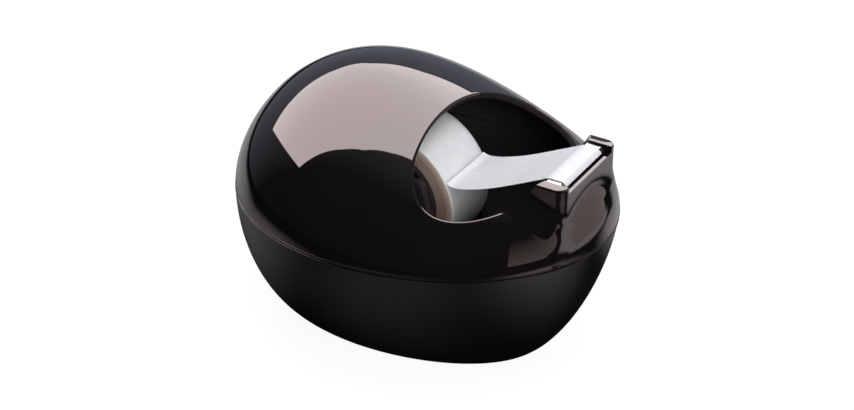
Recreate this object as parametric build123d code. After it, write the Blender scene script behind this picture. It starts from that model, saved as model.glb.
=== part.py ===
"""Desk tape dispenser: a pebble-shaped two-part housing with a roll of tape on a hub inside.

Millimetres. +X points to the cutter, +Y to the left, +Z up. The origin is the middle of the
underside, on the table. The housing's two shells meet on a flat parting plane.
"""
from build123d import *
from math import asin, cos, pi, radians, sin, tan
import os

os.makedirs("parts", exist_ok=True)

# ---------------------------------------------------------------- driving dimensions
# Housing outline
half_length = 52.0            # nose to tail, half
half_width = 43.9             # widest half breadth
plan_exponent = 2.05          # 2 is an ellipse
plan_taper = -0.077           # the tail end is the broader one
parting_height = 41.4         # table to parting plane
crown_rise = 27.1             # parting plane to the top, at mid length
crown_exponent = 2.27         # how full the side view is at nose and tail
crown_lean = -0.675           # leans the crown to the tail
crown_dip = 0.096
nose_lift = 0.648             # holds the profile up towards the cutter
section_exponent = 1.85       # 2 is an ellipse across the housing
foot_half_length = 33.0
foot_half_width = 17.4
foot_setback = 3.5
bowl_exponent = 1.69          # 2 would be a round bowl side
wall = 2.4

# Joint between the shells
reveal_height = 0.5           # shadow line round the housing
reveal_depth = 0.5
tongue_height = 2.4
tongue_wall = 0.9
tongue_gap = 0.1
tongue_ledge = 0.2            # how far the tongue stands inside the dome's inner face
hook_width = 8.0
hook_wall = 1.8
hook_drop = 7.0
hook_inset = 4.4              # outline at the nose to the hook's front
hook_catch = 0.9
hook_catch_height = 2.0
hook_gap = 0.3

# Mouth, an oval opening cut on a slant
mouth_tilt = 30.0             # degrees forward of vertical
mouth_half_length = 16.7      # across the slant
mouth_half_width = 29.5
mouth_setback = 33.5          # nose to where the slanted axis passes mouth_centre_z
mouth_centre_z = 54.3

# Cutter tower
tower_half_width = 14.7
tower_setback = 5.1           # nose to the tower's front
tower_length = 13.9
tower_top = 61.4
tower_round = 2.6
tower_front_flare = 1.4       # gained at the parting plane
tower_front_flare_height = 9.0
tower_side_flare = 6.0
tower_side_flare_height = 16.6
tower_corner_growth = 0.6     # corner radius gained per millimetre of side flare
tower_root = 1.2              # parting plane to the tower's base, inside the dome's wall
lip_drop = 1.7                # front lip below the ears
lip_wall = 0.9
gutter_depth = 3.2            # trough between blade and lip

# Blade
blade_width = 22.8
blade_side_gap = 0.25
blade_thickness = 0.5
blade_length = 3.9
blade_setback = 2.8           # tower's front to the blade's fold
blade_flange = 1.3
blade_flange_angle = 48.0     # below horizontal
blade_top = 60.7
tooth_pitch = 1.0
tooth_notch = 0.62
stake_radius = 0.9
stake_spacing = 14.0
stake_gap = 0.03
stake_root = 1.0

# Roll of tape and its hub
tape_width = 19.0
roll_radius = 19.0
roll_centre_x = -6.0
roll_centre_z = 41.0
core_bore_radius = 12.7
core_wall = 1.5
winding_gap = 0.02
hub_gap = 0.05
hub_width = 17.0
hub_wall = 1.6
hub_web = 2.0
hub_boss_radius = 5.0
hub_spokes = 6                # an even number
spoke_wall = 1.6
spoke_inset = 2.0             # drum edge to spoke edge
axle_radius = 3.0
axle_fit = 0.08
axle_end_gap = 0.4

# Tape between the roll and the cutter
tail_thickness = 0.15
tail_roll_gap = 0.3
tail_blade_gap = 0.12
tail_leave_angle = 28.0       # on the roll, above horizontal
tail_overhang = 0.5           # how far it hangs over the teeth
tail_bend = [(0.08, -0.04), (0.23, 0.05), (0.48, 0.31), (0.90, 0.87)]   # shares of its run and rise

# Cradle
cheek_inner_y = 11.0
cheek_wall = 2.2
cheek_rear_x = -15.0
cheek_front_x = 5.6
cheek_top = 50.4
cheek_round = 1.5
slot_tilt = 20.0              # degrees forward of vertical
cradle_plate = 2.4
cradle_front_x = 13.0
cradle_rear_x = -20.0
gusset_height = 10.0
gusset_wall = 2.0
gusset_reach = 4.0

# Ballast
ballast_height = 13.0
ballast_half_length = 20.0
ballast_base_half_width = 11.5
ballast_top_half_width = 22.0

# Screws and bosses
screw_radius = 1.45
screw_head_radius = 2.8
screw_head_height = 1.9
screw_hole_gap = 0.25
pilot_gap = 0.02
pilot_extra_depth = 1.0
recess_depth = 1.0            # cross recess in the heads
recess_width = 0.8
recess_length = 3.0
boss_radius = 4.2
shell_screw_x = -30.0
shell_screw_half_spacing = 4.6
shell_screw_grip = 3.0
shell_screw_bite = 9.0
cradle_screw_spacing = 24.0
cradle_screw_bite = 4.5
floor_boss_radius = 3.4
floor_boss_height = 6.0

# Foot pad
pad_thickness = 2.0
pad_recess = 1.0
pad_margin = 0.8
pad_gap = 0.1

# Loft resolution
section_points = 9            # on each half of a cross section
dome_stations = 13
bowl_levels = 7
outline_points = 24
tower_levels = 10

# ---------------------------------------------------------------- worked-out places
mouth_centre_x = half_length - mouth_setback
tower_front_x = half_length - tower_setback
tower_rear_x = tower_front_x - tower_length
blade_bend_x = tower_front_x - blade_setback
blade_rear_x = blade_bend_x - blade_length
pad_proud = pad_thickness - pad_recess
floor_top = pad_thickness + wall
ballast_top = floor_top + ballast_height
plate_top = ballast_top + cradle_plate
core_outer_radius = core_bore_radius + core_wall
seat_top = blade_top - blade_thickness
lip_top = tower_top - lip_drop
lip_rear_x = tower_front_x - lip_wall
gutter_rear_x = blade_bend_x - blade_thickness
hook_front_x = half_length - hook_inset
stake_x = (blade_rear_x + blade_bend_x) / 2
stake_y = [-stake_spacing / 2, stake_spacing / 2]
cheek_outer_y = cheek_inner_y + cheek_wall
axle_half_length = cheek_outer_y - axle_end_gap
ballast_x = -foot_setback
cradle_screw_x = [ballast_x - cradle_screw_spacing / 2, ballast_x + cradle_screw_spacing / 2]
shell_screw_y = [-shell_screw_half_spacing, shell_screw_half_spacing]
shelf_base = parting_height - shell_screw_grip
cradle_screw_tip = floor_top + floor_boss_height - cradle_screw_bite


# ---------------------------------------------------------------- formulas of the surface
def plan_half_width(c, inset):
    """Half breadth at c, the place along the length from -1 at the tail to 1 at the nose."""
    return (1 - c * c) ** (1 / plan_exponent) * (half_width * (1 + plan_taper * c) - inset)


def crown_height(c, inset):
    """Height of the ridge above the parting plane at c."""
    lean = 1 + crown_lean * c + crown_dip * c**2 + nose_lift * c**3
    return (1 - c * c) ** (1 / crown_exponent) * (crown_rise * lean - inset)


def bowl_shrink(depth, foot_share):
    """Share of the parting outline that is left at a depth from 0 at the plane to 1 at the foot."""
    return foot_share + (1 - foot_share) * (1 - depth**bowl_exponent) ** (1 / bowl_exponent)


def signed_power(value, exponent):
    return abs(value) ** exponent * (1 if value >= 0 else -1)


# ---------------------------------------------------------------- housing forms
def dome_section(c, inset):
    """Face across the dome at c: two mirrored halves of a superellipse arch on a straight base."""
    x = c * (half_length - inset)
    width, rise = plan_half_width(c, inset), crown_height(c, inset)
    arch = []
    for i in range(section_points):
        c_part, s_part = cos(pi * i / (2 * section_points)), sin(pi * i / (2 * section_points))
        norm = (c_part**section_exponent + s_part**section_exponent) ** (1 / section_exponent)
        arch.append((x, width * c_part / norm, parting_height + rise * s_part / norm))
    arch.append((x, 0, parting_height + rise))
    half = Edge.make_spline(arch, tangents=[(0, 0, 1), (0, -1, 0)],
                            parameters=[i / section_points for i in range(section_points + 1)])
    base = Line((x, -width, parting_height), (x, width, parting_height))
    return make_face([half, mirror(half, about=Plane.XZ), base])


def dome(inset):
    """Solid dome on the parting plane, its surface inset from the housing's."""
    tip = half_length - inset
    sections = [Vertex(-tip, 0, parting_height)]
    for i in range(1, dome_stations):
        sections.append(dome_section(-cos(pi * i / dome_stations), inset))
    sections.append(Vertex(tip, 0, parting_height))
    return loft(sections)


def bowl_outline(z, inset):
    """Level face across the bowl at height z above the table."""
    depth = 1 - z / parting_height
    share_x = bowl_shrink(depth, foot_half_length / half_length)
    share_y = bowl_shrink(depth, foot_half_width / half_width)
    outline = []
    for i in range(outline_points):
        c, s = cos(2 * pi * i / outline_points), sin(2 * pi * i / outline_points)
        outline.append(((share_x * half_length - inset) * c - foot_setback * depth,
                        signed_power(s, 2 / plan_exponent)
                        * (share_y * half_width * (1 + plan_taper * c) - inset), z))
    places = [i / outline_points for i in range(outline_points + 1)]
    return make_face([Edge.make_spline(outline, periodic=True, parameters=places)])


def bowl(z_low, z_high, inset, levels=1):
    """Solid of the bowl between two heights, its side inset from the housing's."""
    low, high = asin(1 - z_low / parting_height), asin(1 - z_high / parting_height)
    heights = [parting_height * (1 - sin(low + (high - low) * i / levels))
               for i in range(levels + 1)]
    return loft([bowl_outline(z, inset) for z in heights])


def block(x_low, x_high, y_low, y_high, z_low, z_high):
    return (Pos((x_low + x_high) / 2, (y_low + y_high) / 2, (z_low + z_high) / 2)
            * Box(x_high - x_low, y_high - y_low, z_high - z_low))


def post(x, y, radius, z_low, z_high):
    return Pos(x, y, (z_low + z_high) / 2) * Cylinder(radius, z_high - z_low)


# ---------------------------------------------------------------- upper shell
def flare(reach, height, z):
    """How far a flare stands out at z, when it grows from nothing at height to reach at the plane."""
    return reach * max(0, 1 - (z - parting_height) / height) ** 2


def tower():
    """Cutter tower: a rounded block that flares out where it meets the dome."""
    root = parting_height + tower_root
    sections = []
    for i in range(tower_levels + 1):
        z = root + (tower_top - root) * i / tower_levels
        front = tower_front_x + flare(tower_front_flare, tower_front_flare_height, z)
        side_flare = flare(tower_side_flare, tower_side_flare_height, z)
        outline = RectangleRounded(front - tower_rear_x, 2 * (tower_half_width + side_flare),
                                   tower_round + tower_corner_growth * side_flare)
        sections.append(Pos((front + tower_rear_x) / 2, 0, z) * outline)
    return loft(sections)


def mouth_cutter():
    """Slanted oval bar that opens the dome and hollows the tower's back."""
    tilt = radians(mouth_tilt)
    slant = Plane(origin=(mouth_centre_x, 0, mouth_centre_z),
                  x_dir=(cos(tilt), 0, -sin(tilt)), z_dir=(sin(tilt), 0, cos(tilt)))
    return extrude(slant * Ellipse(mouth_half_length, mouth_half_width), half_length, both=True)


def blade_bed():
    """What is cut from the tower for the blade, its front flange and the low front lip."""
    side = blade_width / 2 + blade_side_gap
    above = tower_top + 1
    seat = block(tower_rear_x, blade_bend_x, -side, side, seat_top, above)
    gutter = block(gutter_rear_x, lip_rear_x, -side, side, seat_top - gutter_depth, above)
    lip = block(lip_rear_x, tower_front_x + 1, -side, side, lip_top, above)
    return seat + gutter + lip


def front_hook():
    """Hook inside the nose that catches under a ledge of the lower shell."""
    half = hook_width / 2
    base = parting_height - hook_drop
    arm = block(hook_front_x - hook_wall, hook_front_x, -half, half, base, parting_height)
    return arm + block(hook_front_x - hook_wall, hook_front_x + hook_catch, -half, half,
                       base, base + hook_catch_height)


def inner_posts():
    """Screw posts and hook root that hang from the dome, trimmed in the middle of its wall."""
    top = parting_height + 2 * crown_rise
    half = hook_width / 2
    posts = block(hook_front_x - hook_wall, hook_front_x, -half, half, parting_height, top)
    for y in shell_screw_y:
        posts += post(shell_screw_x, y, boss_radius, parting_height, top)
    return posts & dome(wall / 2)


def make_upper_shell():
    shell = dome(0) + tower()
    shell -= dome(wall)
    shell -= mouth_cutter()
    shell -= blade_bed()
    tongue_base = parting_height - tongue_height
    shell += (bowl(tongue_base, parting_height, wall - tongue_wall)
              - bowl(tongue_base, parting_height, wall + tongue_ledge))
    shell += inner_posts() + front_hook()
    for y in stake_y:
        shell += post(stake_x, y, stake_radius, seat_top - stake_root, blade_top)
    for y in shell_screw_y:
        shell -= post(shell_screw_x, y, screw_radius + pilot_gap, parting_height,
                      parting_height + shell_screw_bite + pilot_extra_depth)
    return shell


# ---------------------------------------------------------------- lower shell
def pad_outline(margin):
    return Pos(-foot_setback, 0) * Ellipse(foot_half_length - margin, foot_half_width - margin)


def make_lower_shell():
    shell = bowl(pad_proud, parting_height - reveal_height, 0, bowl_levels)
    shell += bowl(parting_height - reveal_height, parting_height, reveal_depth)
    shell -= bowl(floor_top, parting_height, wall, bowl_levels)
    rebate_base = parting_height - tongue_height - tongue_gap
    shell -= bowl(rebate_base, parting_height, wall - tongue_wall - tongue_gap)
    shell -= Pos(0, 0, pad_proud) * extrude(pad_outline(pad_margin), pad_recess)
    for y in shell_screw_y:
        shell += post(shell_screw_x, y, boss_radius, pad_proud + pad_recess, parting_height)
    for y in shell_screw_y:
        shell -= post(shell_screw_x, y, screw_head_radius + screw_hole_gap, 0, shelf_base)
        shell -= post(shell_screw_x, y, screw_radius + screw_hole_gap, 0, parting_height)
    for x in cradle_screw_x:
        shell += post(x, 0, floor_boss_radius, floor_top - wall / 2, floor_top + floor_boss_height)
    for x in cradle_screw_x:
        shell -= post(x, 0, screw_radius + pilot_gap, cradle_screw_tip - pilot_extra_depth,
                      floor_top + floor_boss_height)
    pocket_half = hook_width / 2 + hook_gap
    pocket_low = parting_height - hook_drop - hook_gap
    shell -= block(hook_front_x, hook_front_x + hook_catch + hook_gap, -pocket_half, pocket_half,
                   pocket_low, pocket_low + hook_catch_height + 2 * hook_gap)
    return shell


def make_foot_pad():
    return extrude(pad_outline(pad_margin + pad_gap), pad_thickness)


# ---------------------------------------------------------------- ballast and cradle
def make_ballast():
    """Tapered oval weight on the floor, pocketed over the screw bosses."""
    base = Ellipse(ballast_half_length, ballast_base_half_width)
    top = Pos(0, 0, ballast_height) * Ellipse(ballast_half_length, ballast_top_half_width)
    weight = Pos(ballast_x, 0, floor_top) * loft([base, top])
    for x in cradle_screw_x:
        weight -= post(x, 0, floor_boss_radius + screw_hole_gap, floor_top,
                       floor_top + floor_boss_height + screw_hole_gap)
        weight -= post(x, 0, screw_radius + screw_hole_gap, floor_top, ballast_top)
    return weight


def cheek_outline():
    """Side view of a cheek, with the slanted slot that the axle drops into."""
    corners = [(cradle_rear_x, ballast_top), (cradle_rear_x, plate_top), (cheek_rear_x, cheek_top),
               (cheek_front_x, cheek_top), (cradle_front_x, plate_top),
               (cradle_front_x, ballast_top)]
    cheek = make_face(Polyline(*corners, close=True))
    top_corners = cheek.vertices().sort_by(Axis.Y)[-2:]
    cheek = fillet(top_corners, cheek_round)
    bore = axle_radius + axle_fit
    slot_length = cheek_top - roll_centre_z + axle_radius
    slot = Pos(0, slot_length / 2) * Rectangle(2 * bore, slot_length) + Circle(bore)
    return cheek - Pos(roll_centre_x, roll_centre_z) * Rot(0, 0, -slot_tilt) * slot


def make_cradle():
    plate = block(cradle_rear_x, cradle_front_x, -cheek_outer_y, cheek_outer_y,
                  ballast_top, plate_top)
    side_view = extrude(Plane.XZ * cheek_outline(), cheek_wall)
    cradle = plate + Pos(0, -cheek_inner_y, 0) * side_view + Pos(0, cheek_outer_y, 0) * side_view
    rib = make_face(Polyline((cheek_outer_y, plate_top), (cheek_outer_y, plate_top + gusset_height),
                             (cheek_outer_y + gusset_reach, ballast_top),
                             (cheek_outer_y, ballast_top), close=True))
    gusset = Pos(roll_centre_x - gusset_wall / 2, 0, 0) * extrude(Plane.YZ * rib, gusset_wall)
    cradle += gusset + mirror(gusset, about=Plane.XZ)
    for x in cradle_screw_x:
        cradle -= post(x, 0, screw_radius + screw_hole_gap, ballast_top, plate_top)
    return cradle


# ---------------------------------------------------------------- screws
def screw(seat_z, tip_z, direction):
    """Pan head screw on the Z axis, its head's underside at seat_z; direction is the head's side."""
    low, high = min(seat_z, tip_z), max(seat_z, tip_z)
    head_end = seat_z + direction * screw_head_height
    head_low, head_high = min(seat_z, head_end), max(seat_z, head_end)
    body = post(0, 0, screw_radius, low, high) + post(0, 0, screw_head_radius, head_low, head_high)
    for turn in (0, 90):
        recess = Box(recess_length, recess_width, 2 * recess_depth)
        body -= Pos(0, 0, head_end) * Rot(0, 0, turn) * recess
    return body


def make_cradle_screws():
    one = screw(plate_top, cradle_screw_tip, 1)
    return Compound(children=[Pos(x, 0, 0) * one for x in cradle_screw_x])


def make_shell_screws():
    one = screw(shelf_base, parting_height + shell_screw_bite, -1)
    return Compound(children=[Pos(shell_screw_x, y, 0) * one for y in shell_screw_y])


# ---------------------------------------------------------------- roll of tape and its hub
def disc(radius, half_width_y):
    """Cylinder along Y on the roll's axis."""
    return (Pos(roll_centre_x, 0, roll_centre_z) * Rot(90, 0, 0)
            * Cylinder(radius, 2 * half_width_y))


def make_hub():
    """Drum on a web and spokes, with the two stub axles that sit in the cradle."""
    drum_radius = core_bore_radius - hub_gap
    hub = disc(drum_radius, hub_width / 2) - disc(drum_radius - hub_wall, hub_width / 2)
    hub += disc(drum_radius - hub_wall / 2, hub_web / 2)
    reach = drum_radius - hub_wall / 2
    for i in range(hub_spokes // 2):
        rib = Box(2 * reach, hub_width - 2 * spoke_inset, spoke_wall)
        hub += Pos(roll_centre_x, 0, roll_centre_z) * Rot(0, 360 / hub_spokes * i, 0) * rib
    hub += disc(hub_boss_radius, cheek_inner_y - axle_end_gap)
    return hub + disc(axle_radius, axle_half_length)


def make_core():
    return disc(core_outer_radius, tape_width / 2) - disc(core_bore_radius, tape_width / 2)


def make_roll():
    inner = core_outer_radius + winding_gap
    return disc(roll_radius, tape_width / 2) - disc(inner, tape_width / 2)


def tail_path():
    """Centre line of the free tape in side view, from the roll to just past the teeth."""
    leave = radians(tail_leave_angle)
    start_radius = roll_radius + tail_roll_gap + tail_thickness / 2
    start = (roll_centre_x + start_radius * cos(leave), roll_centre_z + start_radius * sin(leave))
    height = blade_top + tail_blade_gap + tail_thickness / 2
    fall = radians(blade_flange_angle)
    end = (blade_bend_x + tail_overhang * cos(fall) + tail_blade_gap,
           height - tail_overhang * sin(fall))
    run, rise = blade_rear_x - start[0], height - start[1]
    middle = [(start[0] + run * along, start[1] + rise * up) for along, up in tail_bend]
    return [start, *middle, (blade_rear_x, height), (blade_bend_x, height), end]


def make_tail():
    """Thin ribbon along the path, as wide as the tape."""
    path = tail_path()
    upper, lower = [], []
    for i, (x, z) in enumerate(path):
        before, after = path[max(i - 1, 0)], path[min(i + 1, len(path) - 1)]
        along = Vector(after[0] - before[0], after[1] - before[1]).normalized()
        shift = Vector(-along.Y, along.X) * (tail_thickness / 2)
        upper.append((x + shift.X, z + shift.Y))
        lower.append((x - shift.X, z - shift.Y))
    on_blade = slice(-3, None)
    side_view = make_face([
        Spline(*upper[:-2]), Polyline(*upper[on_blade]), Line(upper[-1], lower[-1]),
        Polyline(*reversed(lower[on_blade])), Spline(*reversed(lower[:-2])),
        Line(lower[0], upper[0])])
    return extrude(Plane.XZ * side_view, tape_width / 2, both=True)


# ---------------------------------------------------------------- cutter blade
def make_blade():
    """Folded strip with a row of sharp perforations along the fold."""
    fall = radians(blade_flange_angle)
    tip = (blade_bend_x + blade_flange * cos(fall), blade_top - blade_flange * sin(fall))
    under_tip = (tip[0] - blade_thickness * sin(fall), tip[1] - blade_thickness * cos(fall))
    under_bend = (blade_bend_x - blade_thickness * tan(fall / 2), seat_top)
    side_view = make_face(Polyline((blade_rear_x, blade_top), (blade_bend_x, blade_top), tip,
                                   under_tip, under_bend, (blade_rear_x, seat_top), close=True))
    blade = extrude(Plane.XZ * side_view, blade_width / 2, both=True)
    notches = int((blade_width - tooth_pitch) / tooth_pitch)
    notch = Rot(0, 0, 45) * Box(tooth_notch, tooth_notch, 4 * blade_thickness)
    first = -(notches - 1) / 2 * tooth_pitch
    for i in range(notches):
        blade -= Pos(blade_bend_x, first + i * tooth_pitch, blade_top) * notch
    for y in stake_y:
        blade -= post(stake_x, y, stake_radius + stake_gap, seat_top, blade_top)
    return blade


# ---------------------------------------------------------------- write the pieces
pieces = {
    "upper_shell": make_upper_shell,
    "lower_shell": make_lower_shell,
    "foot_pad": make_foot_pad,
    "ballast_weight": make_ballast,
    "roll_cradle": make_cradle,
    "cradle_screws": make_cradle_screws,
    "shell_screws": make_shell_screws,
    "roll_hub": make_hub,
    "tape_core": make_core,
    "tape_roll": make_roll,
    "tape_tail": make_tail,
    "cutter_blade": make_blade,
}

for name, make in pieces.items():
    export_step(make(), f"parts/{name}.step")
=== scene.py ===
"""Looks for a desk tape dispenser: a pebble-shaped glossy housing with a roll of tape inside.

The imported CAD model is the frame. The upper shell with its cutter tower, the wound tape and the free tape
are rebuilt here as smooth meshes in the same place, and two thin beads follow the seam. The other nodes
keep their CAD meshes. Sizes are millimetres and are turned into metres when a mesh is made.
+X points to the cutter, +Y to the left, +Z up.
"""

import logging
import math
from dataclasses import dataclass
from enum import Enum
from typing import Callable

import bmesh
import bpy
import numpy as np
from mathutils import Matrix, Vector

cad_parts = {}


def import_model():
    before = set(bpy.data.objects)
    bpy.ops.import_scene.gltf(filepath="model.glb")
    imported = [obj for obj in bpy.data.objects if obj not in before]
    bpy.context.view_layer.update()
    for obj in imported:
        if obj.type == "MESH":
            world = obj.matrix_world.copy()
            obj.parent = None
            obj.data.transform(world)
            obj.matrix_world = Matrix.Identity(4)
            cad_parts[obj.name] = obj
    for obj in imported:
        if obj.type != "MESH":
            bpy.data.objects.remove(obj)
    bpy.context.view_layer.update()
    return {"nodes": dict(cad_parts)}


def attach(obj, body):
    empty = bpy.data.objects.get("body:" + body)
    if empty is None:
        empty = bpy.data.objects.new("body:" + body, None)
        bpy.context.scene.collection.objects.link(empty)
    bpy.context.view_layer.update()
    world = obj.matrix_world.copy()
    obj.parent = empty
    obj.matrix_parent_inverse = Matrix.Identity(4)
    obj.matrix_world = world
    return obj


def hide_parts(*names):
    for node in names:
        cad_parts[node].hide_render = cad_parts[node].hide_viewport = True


log = logging.getLogger("scene")
MM = 0.001
Field = Callable[[np.ndarray], np.ndarray]      # distance from a solid at points, negative inside
Vec = tuple[float, float, float]
Colour = tuple[float, float, float]

# ---------------------------------------------------------------- driving dimensions
# As in the CAD, but for the tower's rear, draft, edge and blend, which it has in another form or not at all.
HALF_LENGTH = 52.0
HALF_WIDTH = 43.9
PLAN_EXPONENT = 2.05
PLAN_TAPER = -0.077
PARTING = 41.4
CROWN_RISE = 27.1
CROWN_EXPONENT = 2.27
CROWN_LEAN = -0.675
CROWN_DIP = 0.096
NOSE_LIFT = 0.648
SECTION_EXPONENT = 1.85
FOOT_HALF_LENGTH = 33.0
FOOT_HALF_WIDTH = 17.4
FOOT_SETBACK = 3.5
BOWL_EXPONENT = 1.69
WALL = 2.4
REVEAL = 0.5                 # height of the groove between the two shells

MOUTH_TILT = math.radians(30.0)
MOUTH_HALF_LENGTH = 16.7
MOUTH_HALF_WIDTH = 29.5
MOUTH_CENTRE = np.array([18.5, 0.0, 54.3])

TOWER_HALF_WIDTH = 14.7
TOWER_FRONT_X = 46.9
TOWER_REAR_X = 30.0          # 3 mm further back than the CAD's
TOWER_TOP = 61.4
TOWER_ROUND = 2.6
TOWER_DRAFT = 0.015          # taper of the tower's sides above their flare
TOWER_EDGE = 0.5             # rounding of the tower's top edge
FRONT_FLARE, FRONT_FLARE_HEIGHT = 1.4, 9.0
SIDE_FLARE, SIDE_FLARE_HEIGHT = 6.0, 16.6
CORNER_GROWTH = 0.6
TOWER_BLEND = 5.0            # width of the soft joint between the tower and the dome
BLEND_FADE_HEIGHT = 10.0     # over which that joint grows to its full width
LEAST_BLEND = 0.02           # share of that width left at the parting plane

ROLL_CENTRE = np.array([-6.0, 0.0, 41.0])
ROLL_RADIUS = 19.0
CORE_OUTER_RADIUS = 14.2
TAPE_WIDTH = 19.0

BLADE_WIDTH = 22.8
BLADE_SIDE_GAP = 0.25
BLADE_REAR_X = 40.2
BLADE_BEND_X = 44.1
BLADE_TOP = 60.7
BLADE_THICKNESS = 0.5
LIP_DROP = 1.7
LIP_WALL = 0.9
GUTTER_DEPTH = 3.2

TINY, SMALL = 1e-9, 1e-6     # keep divisions and roots away from zero
END_SHARE = 0.99999          # how near a formula goes to the housing's two ends
CAST_HALVINGS, RIM_HALVINGS, FOOT_HALVINGS = 34, 30, 24     # halvings of a searched range


class Body(Enum):
    """Bodies of the part that a piece can ride on."""
    HOUSING = "housing"
    SPOOL = "spool"
    TAPE_LEAD = "tape_lead"


# ---------------------------------------------------------------- formulas of the housing
def plan_half_width(c: np.ndarray, inset: float) -> np.ndarray:
    """Half breadth at c, the place along the length from -1 at the tail to 1 at the nose."""
    return np.maximum(1 - c * c, TINY) ** (1 / PLAN_EXPONENT) * (HALF_WIDTH * (1 + PLAN_TAPER * c) - inset)


def crown_height(c: np.ndarray, inset: float) -> np.ndarray:
    """Height of the ridge above the parting plane at c."""
    lean = 1 + CROWN_LEAN * c + CROWN_DIP * c**2 + NOSE_LIFT * c**3
    return np.maximum(1 - c * c, TINY) ** (1 / CROWN_EXPONENT) * (CROWN_RISE * lean - inset)


def dome_distance(p: np.ndarray, inset: float) -> np.ndarray:
    """Distance from the dome's surface, negative inside, measured across the housing.

    Args:
        p: points in millimetres.
        inset: how far the surface lies inside the housing's.

    Returns:
        One distance for each point.
    """
    length = HALF_LENGTH - inset
    x, y, z = p[..., 0], np.abs(p[..., 1]), np.abs(p[..., 2] - PARTING)
    c = np.clip(x / length, -END_SHARE, END_SHARE)
    reach = ((y / plan_half_width(c, inset)) ** SECTION_EXPONENT
             + (z / crown_height(c, inset)) ** SECTION_EXPONENT) ** (1 / SECTION_EXPONENT)
    across = np.hypot(y, z) * (1 - 1 / np.maximum(reach, SMALL))
    across = np.where(reach < SMALL, -1.0, across)
    return np.where(np.abs(x) >= length * END_SHARE, np.maximum(across, np.abs(x) - length), across)


def flare(reach: float, height: float, z: np.ndarray) -> np.ndarray:
    """How far a flare stands out at z, when it grows from nothing at height to reach at the plane."""
    return reach * np.maximum(0, 1 - (z - PARTING) / height) ** 2


def tower_distance(p: np.ndarray) -> np.ndarray:
    """Distance from the cutter tower, a rounded block with a flared foot and a softened top edge.

    Args:
        p: points in millimetres.

    Returns:
        One distance for each point.
    """
    x, y, z = p[..., 0], np.abs(p[..., 1]), p[..., 2]
    front = TOWER_FRONT_X + flare(FRONT_FLARE, FRONT_FLARE_HEIGHT, z)
    side = flare(SIDE_FLARE, SIDE_FLARE_HEIGHT, z)
    half = TOWER_HALF_WIDTH + side - TOWER_DRAFT * np.maximum(0, z - PARTING - SIDE_FLARE_HEIGHT)
    corner = TOWER_ROUND + CORNER_GROWTH * side
    past_x = np.abs(x - (front + TOWER_REAR_X) / 2) - (front - TOWER_REAR_X) / 2 + corner
    past_y = y - half + corner
    level = (np.hypot(np.maximum(past_x, 0), np.maximum(past_y, 0))
             + np.minimum(np.maximum(past_x, past_y), 0) - corner)
    past_side, past_top = level + TOWER_EDGE, z - TOWER_TOP + TOWER_EDGE
    return (np.hypot(np.maximum(past_side, 0), np.maximum(past_top, 0))
            + np.minimum(np.maximum(past_side, past_top), 0) - TOWER_EDGE)


def blended_distance(p: np.ndarray) -> np.ndarray:
    """Distance from the dome and the tower melted into each other, less so near the parting plane.

    Args:
        p: points in millimetres.

    Returns:
        One distance for each point.
    """
    dome, tower = dome_distance(p, 0.0), tower_distance(p)
    width = TOWER_BLEND * np.clip((p[..., 2] - PARTING) / BLEND_FADE_HEIGHT, LEAST_BLEND, 1)
    near = np.clip(1 - np.abs(dome - tower) / width, 0, 1)
    return np.minimum(dome, tower) - near * near * width / 4


def outer_distance(p: np.ndarray) -> np.ndarray:
    """Distance from the dome's outer face."""
    return dome_distance(p, 0.0)


def inner_distance(p: np.ndarray) -> np.ndarray:
    """Distance from the dome's inner face."""
    return dome_distance(p, WALL)


def mouth_offset(p: np.ndarray) -> np.ndarray:
    """How far points lie outside the slanted oval bar that opens the mouth.

    Args:
        p: points in millimetres.

    Returns:
        A share of the oval's size for each point, below zero inside.
    """
    q = p - MOUTH_CENTRE
    along = q[..., 0] * math.cos(MOUTH_TILT) - q[..., 2] * math.sin(MOUTH_TILT)
    return np.hypot(along / MOUTH_HALF_LENGTH, q[..., 1] / MOUTH_HALF_WIDTH) - 1


def bowl_shrink(depth: float, foot_share: float) -> float:
    """Share of the parting outline left at a depth from 0 at the plane to 1 at the table."""
    return foot_share + (1 - foot_share) * (1 - depth**BOWL_EXPONENT) ** (1 / BOWL_EXPONENT)


def bowl_ring(z: float, inset: float, turns: np.ndarray) -> np.ndarray:
    """Points round the bowl at one height.

    Args:
        z: height above the table.
        inset: how far the points lie inside the housing's surface.
        turns: angles about the vertical.

    Returns:
        One point for each angle.
    """
    depth = 1 - z / PARTING
    share_x = bowl_shrink(depth, FOOT_HALF_LENGTH / HALF_LENGTH)
    share_y = bowl_shrink(depth, FOOT_HALF_WIDTH / HALF_WIDTH)
    c, s = np.cos(turns), np.sin(turns)
    x = (share_x * HALF_LENGTH - inset) * c - FOOT_SETBACK * depth
    y = (np.sign(s) * np.abs(s) ** (2 / PLAN_EXPONENT)
         * (share_y * HALF_WIDTH * (1 + PLAN_TAPER * c) - inset))
    return np.stack([x, y, np.full_like(x, z)], -1)


# ---------------------------------------------------------------- mesh helpers
def new_object(name: str, vertices: np.ndarray | list, faces: list,
               smooth_angle: float = 35.0) -> bpy.types.Object:
    """Makes a mesh object from points in millimetres.

    Args:
        name: the piece's name.
        vertices: points, one row each.
        faces: tuples of point numbers.
        smooth_angle: edges sharper than this, in degrees, stay crisp.

    Returns:
        The new object, linked to the scene.
    """
    mesh = bpy.data.meshes.new(name)
    mesh.from_pydata((np.asarray(vertices, float) * MM).tolist(), [], faces)
    mesh.validate()
    piece = bpy.data.objects.new(name, mesh)
    bpy.context.scene.collection.objects.link(piece)
    smooth(piece, smooth_angle)
    return piece


def smooth(piece: bpy.types.Object, angle: float) -> None:
    """Shades a piece smooth, apart from edges sharper than the angle in degrees."""
    piece.data.shade_smooth()
    piece.data.set_sharp_from_angle(angle=math.radians(angle))


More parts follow.
